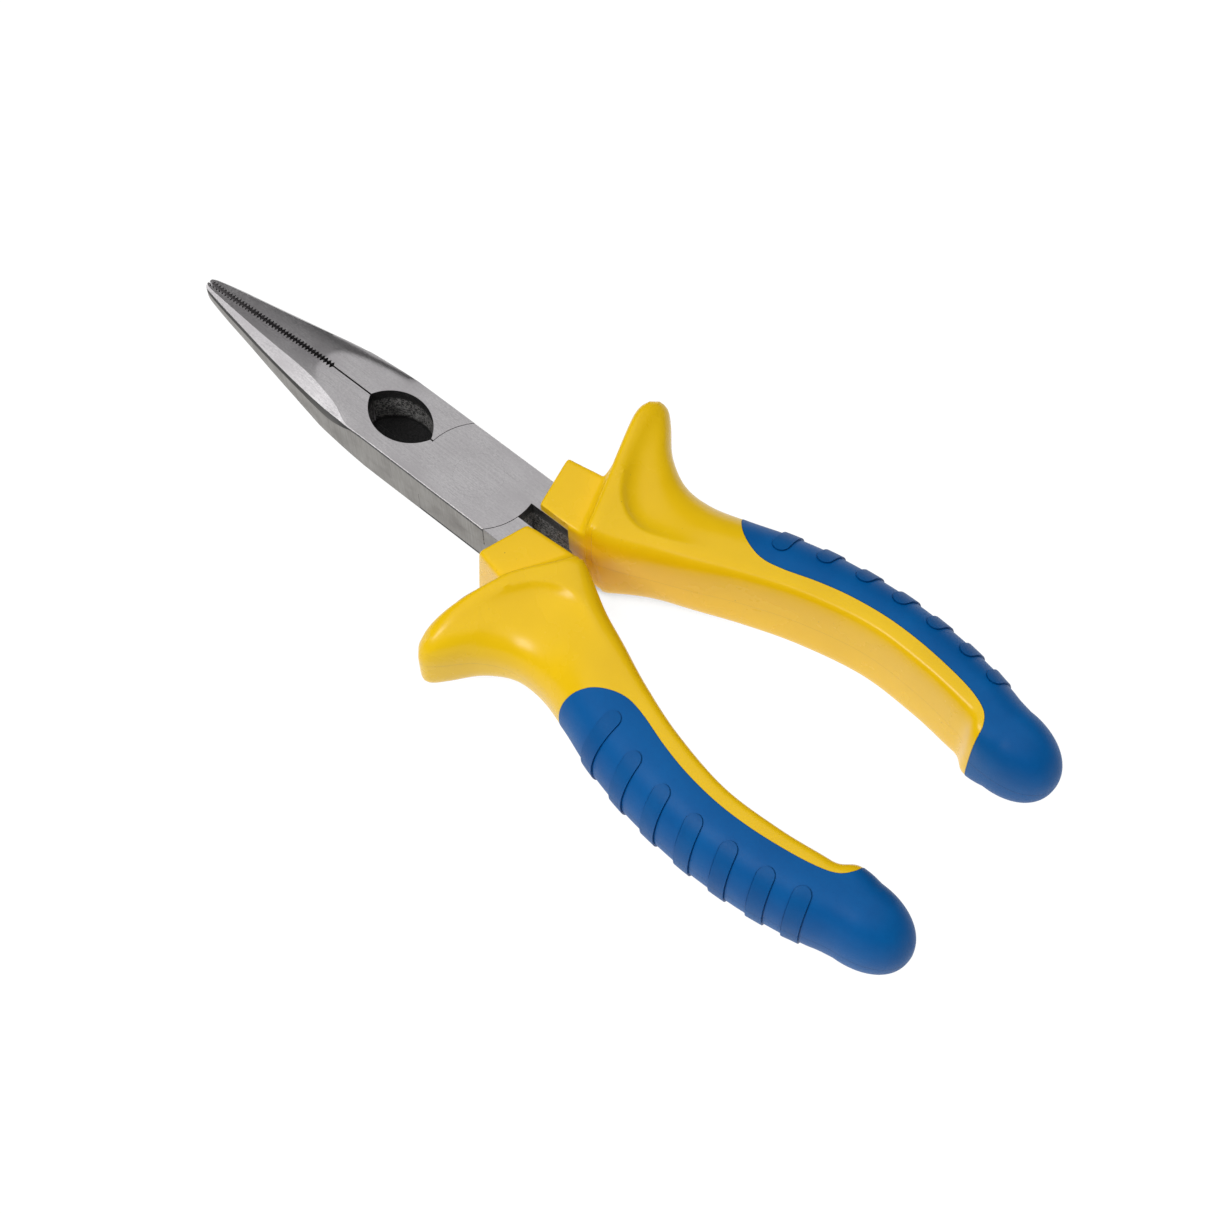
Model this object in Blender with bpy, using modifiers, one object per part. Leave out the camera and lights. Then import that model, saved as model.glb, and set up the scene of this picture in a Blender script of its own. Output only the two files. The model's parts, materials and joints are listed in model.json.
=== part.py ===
"""Needle nose pliers: two identical forged halves on one rivet, each with a two-colour moulded grip.

The jaws point along +X, the hinge axis is +Z, and the jaws are closed.  The origin lies on the hinge
axis, in the flat underside of the lap joint.  Half B has its handle on +Y, and half A is the same
half turned over about the X axis, so each shape is made once, for half B.
"""
import math

import bmesh
import bpy
from mathutils import Vector

MM = 0.001

# Head: the two jaws and the lap joint, as one outer form that the halves are cut from
JOINT_HALF = 5.2 * MM          # half thickness of the joint, whose two faces are ground flat
HEAD_REAR = -21.0 * MM         # rear end of the full-width shank, inside the grip's collar
# Stations along X: x, widest half width, half width of the top face, half height of the top face,
# half height of the vertical side face.  A hollow-ground flank joins the top face to the side face.
HEAD_STATIONS = [
    (-22.0, 7.70, 7.40, 5.20, 4.90),
    (23.0, 7.70, 7.40, 5.20, 4.90),
    (26.0, 7.65, 6.90, 5.20, 4.40),
    (30.0, 7.40, 6.20, 5.20, 3.70),
    (34.0, 7.10, 5.65, 5.05, 3.10),
    (38.0, 6.70, 5.15, 4.65, 2.75),
    (43.0, 5.95, 4.50, 4.10, 2.40),
    (53.0, 4.10, 3.25, 2.95, 1.80),
    (63.0, 2.25, 1.95, 1.80, 1.10),
    (68.3, 1.30, 1.10, 1.20, 0.75),
    (68.9, 0.95, 0.75, 0.90, 0.50),
]
FLANK_HOLLOW = 0.14            # sag of the hollow flank, as a share of its chord
FLANK_STEPS = (0.0, 0.35, 0.7, 1.0)
CLEAR = 3 * MM                 # how far a cutter runs past the faces it cuts

# Lap joint
SHOULDER_R = 11.1 * MM         # radius of the round shoulders between plate and jaw
SHOULDER_GAP = 0.3 * MM
LAP_GAP = 0.1 * MM             # clearance between the two lap plates
RIVET_R = 3.5 * MM
RIVET_HEAD_R = 4.6 * MM
RIVET_HEAD_DEPTH = 1.2 * MM
RIVET_CLEARANCE = 0.05 * MM
RIVET_STEPS = 32
DISC_SIDES = 72
CROTCH_HALF = 1.8 * MM         # half width of the notch between the shanks

# Jaw faces, teeth and the pipe-grip hole between the jaws
FACE_GAP = 0.15 * MM           # from each jaw's face to the middle
TIP_X = 68.9 * MM
TEETH_START = 36.0 * MM
TOOTH_PITCH = 1.0 * MM
TOOTH_DEPTH = 0.4 * MM
HOLE_X = 19.1 * MM
HOLE_HALF_WIDTH = 4.9 * MM
HOLE_ARC_R = 8.2 * MM

# Shank and tang, hidden in the grip
SHANK_RELIEF = 0.5 * MM        # the shank steps down under the collar
RELIEF_LEAD = 0.3 * MM         # the step starts this far ahead of the collar
TANG_HALF = 2.6 * MM
TANG_LINE = [(-17, 5.0), (-26, 8.0), (-36, 12.0), (-48, 17.2), (-60, 22.0), (-72, 24.6), (-84, 24.4)]
TANG_WIDTH = (6.4, 4.4)        # at the shank and at the end, in millimetres
FIT_GAP = 0.25 * MM            # between the steel and the plastic, all round

# Grip skin: stations from the guard's front face to the start of the rounded end.  Each is a section
# across the handle, from an inner point to an outer point: inner x and y, outer x and y, half height,
# the place of the highest point along the section, and the squareness of the inner and outer sides.
GRIP_STATIONS = [
    (-23.2, 2.6, -13.6, 27.4, 9.0, 0.33, 2.6, 4.0),
    (-23.6, 2.0, -13.9, 30.4, 10.0, 0.33, 2.6, 4.4),
    (-24.8, 2.0, -15.6, 32.6, 10.3, 0.33, 2.6, 4.4),
    (-26.6, 2.4, -18.6, 30.5, 9.6, 0.36, 2.6, 3.8),
    (-28.8, 3.0, -23.0, 25.9, 8.9, 0.40, 2.7, 3.2),
    (-31.6, 4.4, -28.6, 23.2, 8.6, 0.42, 2.8, 2.6),
    (-36.0, 6.4, -35.0, 23.2, 8.6, 0.42, 3.2, 2.4),
    (-42.0, 9.0, -42.0, 25.0, 8.8, 0.40, 3.8, 2.3),
    (-50.0, 12.7, -50.0, 27.7, 9.1, 0.37, 4.8, 2.2),
    (-60.0, 16.3, -60.0, 29.8, 9.3, 0.35, 5.4, 2.2),
    (-72.0, 18.8, -72.0, 30.8, 9.4, 0.35, 5.6, 2.2),
    (-83.0, 18.6, -83.0, 30.5, 9.4, 0.35, 5.6, 2.2),
    (-91.0, 17.4, -91.0, 29.2, 9.3, 0.38, 4.8, 2.2),
    (-95.0, 15.9, -95.0, 28.2, 9.3, 0.42, 3.4, 2.2),
    (-98.0, 14.5, -98.0, 27.5, 9.2, 0.46, 2.6, 2.2),
    (-101.0, 14.1, -101.0, 26.7, 9.1, 0.50, 2.3, 2.2),
]
GRIP_END = (-111.1, 19.9)      # the rounded end's furthest point, x and y
RING_POINTS = 24
STEPS_PER_STATION = 2
END_RINGS = 5

# Blue sleeve
SLEEVE_WALL = 2.0 * MM
MOULD_GAP = 0.3 * MM           # between sleeve and core
# Edge of the sleeve on the top face, from the nose round the inner side to the end cap
SLEEVE_EDGE = [
    (-41.8, 30.0), (-39.0, 26.5), (-39.6, 23.2), (-42.2, 20.4), (-45.5, 18.4), (-49.5, 17.6),
    (-53.5, 18.2), (-60.0, 20.3), (-68.0, 21.9), (-76.0, 22.4), (-84.0, 22.0), (-90.5, 21.0),
    (-94.3, 19.8), (-96.3, 18.2), (-97.2, 16.0), (-97.6, 8.0), (-120.0, 8.0), (-120.0, 40.0),
    (-41.8, 40.0),
]
NOSE_X = -38.6                 # the nose seen from the side is round, and reaches furthest at mid height
NOSE_BACK = 4.2
NOSE_HALF = 9.6
NOSE_STEPS = 6
ZONE_HALF = 14.0               # half height, outermost y and rear x of the zone that holds the sleeve
ZONE_OUT = 45.0
ZONE_REAR = -125.0

# Ribs on the sleeve, each a tongue that leans back over the outer side
RIB_TIPS = [(-51.0, 20.6), (-58.0, 23.8), (-65.2, 25.4), (-72.4, 26.0), (-79.8, 26.0), (-87.0, 25.4),
            (-94.0, 24.6)]
RIB_WIDTH = 3.7
RIB_LEAN = (-0.36, 0.933)      # direction from a tip towards the outer side
RIB_RUN = 14.0
RIB_RISE = 0.4 * MM
RIB_TIP_POINTS = 4

# Collar in front of the guard, as a plan outline
COLLAR = [(-13.8, 2.0), (-10.8, 12.2), (-18.5, 14.2), (-24.5, 10.0), (-25.5, 3.6)]
COLLAR_HALF = 7.2 * MM
COLLAR_ROUND = 0.8 * MM

ARC_STEP = math.radians(6)
SHARP_ANGLE = math.radians(28)
WELD = 1e-6


# ---------------------------------------------------------------- scene and helpers

def clear_scene():
    for item in list(bpy.data.objects):
        bpy.data.objects.remove(item, do_unlink=True)


def make_collection(name):
    group = bpy.data.collections.new(name)
    bpy.context.scene.collection.children.link(group)
    return group


clear_scene()
PARTS = make_collection("needle_nose_pliers")
CUTTERS = make_collection("cutters")


def make_material(name, colour, roughness, metallic):
    material = bpy.data.materials.new(name)
    material.use_nodes = True
    shader = material.node_tree.nodes["Principled BSDF"]
    shader.inputs["Base Color"].default_value = (*colour, 1.0)
    shader.inputs["Roughness"].default_value = roughness
    shader.inputs["Metallic"].default_value = metallic
    material.diffuse_color = (*colour, 1.0)
    return material


def add_object(name, mesh, group):
    item = bpy.data.objects.new(name, mesh)
    group.objects.link(item)
    return item


def as_guide(item):
    item.hide_render = True
    item.display_type = "WIRE"
    return item


def add_boolean(item, tool, operation):
    modifier = item.modifiers.new(operation.title() + "_" + tool.name, "BOOLEAN")
    modifier.operation = operation
    modifier.solver = "EXACT"
    modifier.object = tool


def evaluated_mesh(item):
    bpy.context.view_layer.update()
    graph = bpy.context.evaluated_depsgraph_get()
    return bpy.data.meshes.new_from_object(item.evaluated_get(graph), depsgraph=graph)


def weld(mesh):
    work = bmesh.new()
    work.from_mesh(mesh)
    bmesh.ops.remove_doubles(work, verts=work.verts, dist=WELD)
    bmesh.ops.recalc_face_normals(work, faces=work.faces)
    work.to_mesh(mesh)
    work.free()


def prism(name, outline, low, high):
    """A flat outline, given as x and y in metres, extruded from low to high."""
    curve = bpy.data.curves.new(name, "CURVE")
    curve.dimensions = "2D"
    curve.fill_mode = "BOTH"
    curve.extrude = (high - low) / 2
    spline = curve.splines.new("POLY")
    spline.points.add(len(outline) - 1)
    for point, (x, y) in zip(spline.points, outline):
        point.co = (x, y, 0.0, 1.0)
    spline.use_cyclic_u = True
    flat = add_object(name + "_curve", curve, CUTTERS)
    flat.location.z = (low + high) / 2
    mesh = evaluated_mesh(flat)
    weld(mesh)
    solid = add_object(name, mesh, CUTTERS)
    solid.matrix_world = flat.matrix_world.copy()
    bpy.data.objects.remove(flat, do_unlink=True)
    return as_guide(solid)


def loft(name, rings, tip=None):
    """A closed skin through rings of equal length, with a flat first end and an optional end point."""
    work = bmesh.new()
    rows = [[work.verts.new(point) for point in ring] for ring in rings]
    count = len(rings[0])
    for row, following in zip(rows, rows[1:]):
        for i in range(count):
            j = (i + 1) % count
            work.faces.new((row[i], row[j], following[j], following[i]))
    work.faces.new(rows[0])
    if tip is None:
        work.faces.new(rows[-1])
    else:
        apex = work.verts.new(tip)
        for i in range(count):
            work.faces.new((rows[-1][i], rows[-1][(i + 1) % count], apex))
    bmesh.ops.recalc_face_normals(work, faces=work.faces)
    mesh = bpy.data.meshes.new(name)
    work.to_mesh(mesh)
    work.free()
    return as_guide(add_object(name, mesh, CUTTERS))


def arc(centre, radius, start, end):
    """Points of a round stretch from one angle to another, both ends included."""
    steps = max(1, math.ceil(abs(end - start) / ARC_STEP))
    angles = [start + (end - start) * i / steps for i in range(steps + 1)]
    return [(centre[0] + radius * math.cos(a), centre[1] + radius * math.sin(a)) for a in angles]


def in_metres(outline):
    return [(x * MM, y * MM) for x, y in outline]


# ---------------------------------------------------------------- steel halves

def head_ring(station):
    """Section of the closed head: flat top and bottom, vertical sides, hollow flanks between them."""
    x, side_y, top_y, top_z, side_z = (value * MM for value in station)
    flank = []
    for t in FLANK_STEPS:
        sag = FLANK_HOLLOW * 4 * t * (1 - t)
        y = top_y + (side_y - top_y) * t - sag * (top_z - side_z)
        z = top_z + (side_z - top_z) * t - sag * (side_y - top_y)
        flank.append((y, z))
    quarter_turns = [
        flank,
        [(y, -z) for y, z in reversed(flank)],
        [(-y, -z) for y, z in flank],
        [(-y, z) for y, z in reversed(flank)],
    ]
    return [Vector((x, y, z)) for quarter in quarter_turns for y, z in quarter]


def tooth_outline():
    """The toothed stretch of a jaw's face, from the tip back to where the face becomes smooth."""
    count = int((TIP_X - TEETH_START) / TOOTH_PITCH)
    points = []
    for i in range(count):
        x = TEETH_START + (count - i) * TOOTH_PITCH
        points.append((x, -FACE_GAP))
        points.append((x - TOOTH_PITCH / 2, -FACE_GAP - TOOTH_DEPTH))
    points.append((TEETH_START, -FACE_GAP))
    return points


def half_outline():
    """Plan outline of half B: lap disc, shank on +Y behind the pivot, jaw on -Y ahead of it."""
    beyond = 10 * MM
    disc_r = SHOULDER_R - SHOULDER_GAP / 2
    edge_angle = math.asin(HEAD_STATIONS[0][1] * MM / disc_r)
    face_angle = math.asin(FACE_GAP / disc_r)
    crotch_angle = math.asin(CROTCH_HALF / disc_r)
    hole_centre = (HOLE_X, HOLE_ARC_R - HOLE_HALF_WIDTH)
    hole_angle = math.asin((hole_centre[1] + FACE_GAP) / HOLE_ARC_R)
    outline = arc((0, 0), disc_r, -face_angle, edge_angle)
    outline += [(outline[-1][0], beyond), (HEAD_REAR, beyond), (HEAD_REAR, CROTCH_HALF)]
    outline += arc((0, 0), disc_r, math.pi - crotch_angle, math.pi + edge_angle)
    outline += [(outline[-1][0], -beyond), (TIP_X + beyond, -beyond), (TIP_X + beyond, -FACE_GAP)]
    outline += tooth_outline()
    outline += arc(hole_centre, HOLE_ARC_R, -hole_angle, hole_angle - math.pi)
    return outline


def rivet_profile(margin, overrun):
    """Half profile of the rivet, from its top end down to its bottom end."""
    end = JOINT_HALF + overrun
    neck_z = JOINT_HALF - RIVET_HEAD_DEPTH
    return [
        (0.0, end),
        (RIVET_HEAD_R + margin, end),
        (RIVET_HEAD_R + margin, JOINT_HALF - margin),
        (RIVET_R + margin, neck_z - margin),
        (RIVET_R + margin, -neck_z + margin),
        (RIVET_HEAD_R + margin, -JOINT_HALF + margin),
        (RIVET_HEAD_R + margin, -end),
        (0.0, -end),
    ]


def turned(name, profile, group):
    work = bmesh.new()
    points = [work.verts.new((r, 0.0, z)) for r, z in profile]
    for first, second in zip(points, points[1:]):
        work.edges.new((first, second))
    mesh = bpy.data.meshes.new(name)
    work.to_mesh(mesh)
    work.free()
    item = add_object(name, mesh, group)
    screw = item.modifiers.new("Turn", "SCREW")
    screw.axis = "Z"
    screw.angle = math.tau
    screw.steps = RIVET_STEPS
    screw.render_steps = RIVET_STEPS
    screw.use_merge_vertices = True
    screw.merge_threshold = WELD
    return item


def tang_outline(margin):
    """The tang in plan: a bar along its centre line that narrows towards its end."""
    line = [Vector((x * MM, y * MM)) for x, y in TANG_LINE]
    left = []
    right = []
    for i, point in enumerate(line):
        ahead = line[min(i + 1, len(line) - 1)]
        behind = line[max(i - 1, 0)]
        along = (ahead - behind).normalized()
        across = Vector((-along.y, along.x))
        share = i / (len(line) - 1)
        half = (TANG_WIDTH[0] + (TANG_WIDTH[1] - TANG_WIDTH[0]) * share) * MM / 2 + margin
        reach = along * margin if i == len(line) - 1 else Vector((0.0, 0.0))
        left.append(tuple(point + reach + across * half))
        right.append(tuple(point + reach - across * half))
    return left + right[::-1]


def collar_front_line(offset):
    """The collar's front edge in plan, moved forward by offset and run past both its corners."""
    start = Vector(COLLAR[0]) * MM
    end = Vector(COLLAR[1]) * MM
    along = (end - start).normalized()
    ahead = Vector((along.y, -along.x)) * offset
    return start + ahead - along * 2 * CLEAR, end + ahead + along * 2 * CLEAR


def make_forging():
    """Half B's forging: jaw, lower lap plate, shank and tang."""
    forging = loft("forging_blank", [head_ring(station) for station in HEAD_STATIONS])
    beyond = JOINT_HALF + CLEAR
    add_boolean(forging, prism("half_plan", half_outline(), -beyond, beyond), "INTERSECT")
    bpy.ops.mesh.primitive_cylinder_add(vertices=DISC_SIDES, radius=SHOULDER_R + SHOULDER_GAP / 2,
                                        depth=beyond)
    disc = bpy.context.object
    disc.name = "upper_plate_room"
    disc.location.z = (beyond - LAP_GAP) / 2
    for group in list(disc.users_collection):
        group.objects.unlink(disc)
    CUTTERS.objects.link(as_guide(disc))
    add_boolean(forging, disc, "DIFFERENCE")
    bore = as_guide(turned("rivet_bore", rivet_profile(RIVET_CLEARANCE, CLEAR), CUTTERS))
    add_boolean(forging, bore, "DIFFERENCE")
    low, high = collar_front_line(RELIEF_LEAD)
    relief = [tuple(low), tuple(high), (HEAD_REAR - CLEAR, high.y), (HEAD_REAR - CLEAR, low.y)]
    step = JOINT_HALF - SHANK_RELIEF
    add_boolean(forging, prism("relief_top", relief, step, step + CLEAR), "DIFFERENCE")
    add_boolean(forging, prism("relief_bottom", relief, -step - CLEAR, -step), "DIFFERENCE")
    add_boolean(forging, prism("tang", tang_outline(0.0), -TANG_HALF, TANG_HALF), "UNION")
    return forging


# ---------------------------------------------------------------- grips

def spline_value(before, start, end, after, t):
    """Catmull-Rom interpolation between start and end."""
    return 0.5 * (2 * start + (end - before) * t
                  + (2 * before - 5 * start + 4 * end - after) * t ** 2
                  + (3 * start - before - 3 * end + after) * t ** 3)


def smooth_stations():
    rows = [GRIP_STATIONS[0]] + GRIP_STATIONS + [GRIP_STATIONS[-1]]
    stations = []
    for i in range(1, len(rows) - 2):
        for step in range(STEPS_PER_STATION):
            t = step / STEPS_PER_STATION
            stations.append([spline_value(*values, t) for values in zip(*rows[i - 1:i + 3])])
    return stations + [list(GRIP_STATIONS[-1])]


def section_ring(inner, outer, half, peak, inner_power, outer_power, inset):
    """One closed section: a superellipse whose inner and outer sides have their own squareness."""
    across = (outer - inner).normalized()
    width = (outer - inner).length - 2 * inset
    start = inner + across * inset
    height = half - inset
    ring = []
    for i in range(RING_POINTS):
        angle = math.tau * i / RING_POINTS
        c, s = math.cos(angle), math.sin(angle)
        power = outer_power if c >= 0 else inner_power
        reach = (1 - peak) if c >= 0 else peak
        along = width * (peak + math.copysign(reach * abs(c) ** (2 / power), c))
        point = start + across * along
        ring.append(Vector((point.x, point.y, math.copysign(height * abs(s) ** (2 / power), s))))
    return ring


def grip_skin(name, inset):
    """The whole outer skin of a grip, or the same form set in by a wall thickness."""
    rings = []
    shrink = 1 + inset / (GRIP_END[0] * MM)
    for xi, yi, xo, yo, half, peak, inner_power, outer_power in smooth_stations():
        inner = Vector((xi * shrink, yi)) * MM
        outer = Vector((xo * shrink, yo)) * MM
        rings.append(section_ring(inner, outer, half * MM, peak, inner_power, outer_power, inset))
    last = GRIP_STATIONS[-1]
    dome_x = last[0] * shrink * MM
    end = Vector((GRIP_END[0] * MM + inset, GRIP_END[1] * MM))
    middle = (last[1] + last[3]) / 2 * MM
    half_width = (last[3] - last[1]) / 2 * MM - inset
    for i in range(1, END_RINGS + 1):
        angle = math.pi / 2 * i / (END_RINGS + 1)
        x = dome_x + (end.x - dome_x) * math.sin(angle)
        y = middle + (end.y - middle) * math.sin(angle)
        reach = half_width * math.cos(angle)
        height = (last[4] * MM - inset) * math.cos(angle)
        rings.append(section_ring(Vector((x, y - reach)), Vector((x, y + reach)), height, last[5],
                                  last[6], last[7], 0.0))
    return loft(name, rings, tip=Vector((end.x, end.y, 0.0)))


def grown(outline, amount):
    """An anticlockwise outline moved outwards by a small amount, corner by corner."""
    points = [Vector(point) for point in outline]
    result = []
    for i, point in enumerate(points):
        into = (point - points[i - 1]).normalized()
        away = (points[(i + 1) % len(points)] - point).normalized()
        normal = Vector((into.y + away.y, -into.x - away.x)).normalized()
        result.append(tuple(point + normal * amount))
    return result


def sleeve_zone(name, margin):
    """The space of the blue sleeve: its plan outline, with a nose that is round in side view."""
    plan = grown(in_metres(SLEEVE_EDGE)[::-1], margin)
    zone = prism(name, plan, -ZONE_HALF * MM, ZONE_HALF * MM)
    side = [(ZONE_REAR, -ZONE_HALF - 1), (NOSE_X - NOSE_BACK, -ZONE_HALF - 1)]
    for i in range(-NOSE_STEPS, NOSE_STEPS + 1):
        angle = math.pi / 2 * i / NOSE_STEPS
        side.append((NOSE_X - NOSE_BACK * (1 - math.cos(angle)), NOSE_HALF * math.sin(angle)))
    side += [(NOSE_X - NOSE_BACK, ZONE_HALF + 1), (ZONE_REAR, ZONE_HALF + 1)]
    profile = prism(name + "_side", in_metres(side), -ZONE_OUT * MM, 0.0)
    profile.rotation_euler.x = math.pi / 2
    profile.location = (margin, ZONE_OUT / 2 * MM, 0.0)
    add_boolean(zone, profile, "INTERSECT")
    return zone


def rib_outline(tip):
    """A tongue in plan: a round tip on the top face, and two straight sides out past the handle."""
    lean = Vector(RIB_LEAN).normalized()
    side = Vector((lean.y, -lean.x))
    half = RIB_WIDTH / 2
    centre = Vector(tip) + lean * half
    far = centre + lean * RIB_RUN
    points = [far + side * half]
    for i in range(RIB_TIP_POINTS + 1):
        angle = math.pi * i / RIB_TIP_POINTS
        points.append(centre + side * half * math.cos(angle) - lean * half * math.sin(angle))
    points.append(far - side * half)
    return in_metres(points)


def make_ribs():
    """The ribs of one sleeve: a slightly larger skin, kept only inside the tongues."""
    ribs = grip_skin("rib_skin", -RIB_RISE)
    tongues = [prism("tongue", rib_outline(tip), -ZONE_HALF * MM, ZONE_HALF * MM) for tip in RIB_TIPS]
    all_tongues = tongues[0]
    for other in tongues[1:]:
        add_boolean(all_tongues, other, "UNION")
    add_boolean(ribs, all_tongues, "INTERSECT")
    return ribs


def make_sleeve():
    sleeve = grip_skin("sleeve_blank", 0.0)
    add_boolean(sleeve, sleeve_zone("sleeve_zone", 0.0), "INTERSECT")
    add_boolean(sleeve, make_ribs(), "UNION")
    add_boolean(sleeve, grip_skin("sleeve_hollow", SLEEVE_WALL), "DIFFERENCE")
    return sleeve


def make_core():
    core = grip_skin("core_blank", 0.0)
    collar = prism("collar", in_metres(COLLAR), -COLLAR_HALF, COLLAR_HALF)
    bevel = collar.modifiers.new("Round", "BEVEL")
    bevel.width = COLLAR_ROUND
    bevel.segments = 2
    bevel.limit_method = "ANGLE"
    add_boolean(core, collar, "UNION")
    room = sleeve_zone("sleeve_room", MOULD_GAP)
    add_boolean(room, grip_skin("core_stem", SLEEVE_WALL + MOULD_GAP), "DIFFERENCE")
    add_boolean(core, room, "DIFFERENCE")
    socket = prism("tang_socket", tang_outline(FIT_GAP), -TANG_HALF - FIT_GAP, TANG_HALF + FIT_GAP)
    add_boolean(core, socket, "DIFFERENCE")
    shank_top = JOINT_HALF - SHANK_RELIEF + FIT_GAP
    shank = [
        (HEAD_REAR - FIT_GAP, -CLEAR),
        (0.0, -CLEAR),
        (0.0, HEAD_STATIONS[0][1] * MM + FIT_GAP),
        (HEAD_REAR - FIT_GAP, HEAD_STATIONS[0][1] * MM + FIT_GAP),
    ]
    add_boolean(core, prism("shank_socket", shank, -shank_top, shank_top), "DIFFERENCE")
    return core


# ---------------------------------------------------------------- assembly

def finish_half(name, blank, half, material):
    """Give a half its own copy of the finished shape, on the hinge axis, turned over for half A."""
    mesh = evaluated_mesh(blank)
    weld(mesh)
    mesh.materials.clear()
    mesh.materials.append(material)
    mesh.shade_smooth()
    mesh.set_sharp_from_angle(angle=SHARP_ANGLE)
    item = add_object(name, mesh, PARTS)
    item.parent = half
    return item


def make_half(name, turned_over):
    half = bpy.data.objects.new(name, None)
    CUTTERS.objects.link(half)
    half.location = (0.0, 0.0, JOINT_HALF)
    half.rotation_euler.x = math.pi if turned_over else 0.0
    return half


def main():
    half_a = make_half("half_a_axis", True)
    half_b = make_half("half_b_axis", False)
    blanks = {"forging": make_forging(), "grip_core": make_core(), "grip_sleeve": make_sleeve()}
    finishes = {
        "forging": ((0.55, 0.54, 0.54), 0.34, 1.0),
        "grip_core": ((0.85, 0.56, 0.01), 0.38, 0.0),
        "grip_sleeve": ((0.0, 0.1, 0.33), 0.45, 0.0),
    }
    for letter, half in (("a", half_a), ("b", half_b)):
        for kind, blank in blanks.items():
            name = kind + "_" + letter
            finish_half(name, blank, half, make_material(name, *finishes[kind]))
    rivet = turned("joint_rivet", rivet_profile(0.0, 0.0), PARTS)
    rivet.data.materials.append(make_material("joint_rivet", (0.5, 0.5, 0.5), 0.35, 1.0))
    rivet.parent = half_b


main()
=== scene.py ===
"""Looks for the needle nose pliers: finer steel halves, two-colour grips, materials, light and camera.

Shapes are worked out in millimetres about the hinge for half B, whose handle is on +Y, and half A is the
same half turned over about the X axis.  HINGE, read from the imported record, puts both in the row frame.
"""

import json
import math

import bmesh
import bpy
import numpy as np
from mathutils import Matrix, Vector

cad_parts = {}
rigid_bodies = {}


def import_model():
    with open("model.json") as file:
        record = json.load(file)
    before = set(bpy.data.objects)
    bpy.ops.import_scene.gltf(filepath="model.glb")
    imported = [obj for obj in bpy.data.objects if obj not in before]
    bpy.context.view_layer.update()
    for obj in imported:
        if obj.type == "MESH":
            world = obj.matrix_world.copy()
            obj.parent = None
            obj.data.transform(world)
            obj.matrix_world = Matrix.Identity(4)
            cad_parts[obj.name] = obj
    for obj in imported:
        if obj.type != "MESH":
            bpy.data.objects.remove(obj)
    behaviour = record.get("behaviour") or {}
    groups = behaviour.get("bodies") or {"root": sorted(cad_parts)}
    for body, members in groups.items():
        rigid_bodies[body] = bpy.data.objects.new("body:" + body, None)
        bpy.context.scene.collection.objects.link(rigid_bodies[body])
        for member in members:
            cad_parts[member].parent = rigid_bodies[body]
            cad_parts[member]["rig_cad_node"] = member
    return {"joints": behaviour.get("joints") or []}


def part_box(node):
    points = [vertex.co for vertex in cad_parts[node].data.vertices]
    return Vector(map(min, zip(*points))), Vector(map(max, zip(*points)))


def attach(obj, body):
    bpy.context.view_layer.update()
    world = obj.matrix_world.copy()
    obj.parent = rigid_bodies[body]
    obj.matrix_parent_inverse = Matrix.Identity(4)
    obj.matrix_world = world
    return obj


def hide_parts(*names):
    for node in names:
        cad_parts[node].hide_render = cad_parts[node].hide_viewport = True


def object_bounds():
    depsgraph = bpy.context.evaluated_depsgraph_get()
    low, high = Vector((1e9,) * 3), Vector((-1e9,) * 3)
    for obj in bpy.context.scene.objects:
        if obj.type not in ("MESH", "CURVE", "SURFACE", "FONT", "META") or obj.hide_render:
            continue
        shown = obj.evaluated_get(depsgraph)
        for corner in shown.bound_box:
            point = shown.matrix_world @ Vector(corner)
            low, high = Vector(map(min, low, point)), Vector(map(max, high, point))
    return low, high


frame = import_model()
CAD_BOX = [list(corner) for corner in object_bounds()]

MM = 0.001
HINGE = Vector(frame["joints"][0]["pos_m"])
JOINT_HALF = HINGE.z / MM       # half thickness of the lap joint
TIP_BEYOND = 0.5                # the finer jaws end this far ahead of the plain ones
TIP_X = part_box("forging_a")[1].x / MM + TIP_BEYOND
GRIP_END_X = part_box("grip_sleeve_a")[0].x / MM
FLOOR_Z = CAD_BOX[0][2]

# ---------------------------------------------------------------- steel dimensions, in millimetres
JOINT_Y = 7.7                   # half width of the joint
SHANK_REAR = -20.4
SHOULDER_R = 11.1
SHOULDER_GAP = 0.12             # between a lap disc and the other half's shoulder
DISC_CLOSING = 0.05             # angle over which the disc closes that gap at the joint's side
LAP_GAP = 0.02                  # between the two lap faces
CROTCH_HALF = 1.8               # half width of the slot behind the joint
FACE_GAP = 0.15                 # from the middle plane to a jaw's face
TEETH_START = 36.0
TOOTH_PITCH = 0.8
TOOTH_DEPTH = 0.6
HOLE_X = 19.1                   # middle of the pipe-grip hole
HOLE_HALF_WIDTH = 4.9
HOLE_ARC_R = 8.2                # each half's wall of the hole is an arc
SHADE_SHEET_LEVELS = (-4.3, -3.7)       # the thin dark sheet low in the hole: painted shade in place of the shadowed floor seen through it
SHADE_SHEET_OVERLAP = 0.3               # how far it runs into the hole's wall
SHADE_SHEET_GAP = 0.03                  # from the middle plane to a half's dark sheet
RIVET_R = 3.5
RIVET_HEAD_R = 4.6
RIVET_HEAD_DEPTH = 1.2
RIVET_SEAM = 0.012              # gap round the rivet
RIVET_STEPS = 96

FLAT_END = 38.5                 # the flat ground face ends here on the middle line
TAPER = 0.112                   # fall of the jaw's crown line per millimetre, ahead of the flat face
CROWN = 0.0043                  # times y cubed, the crown's fall towards its edge
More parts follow.
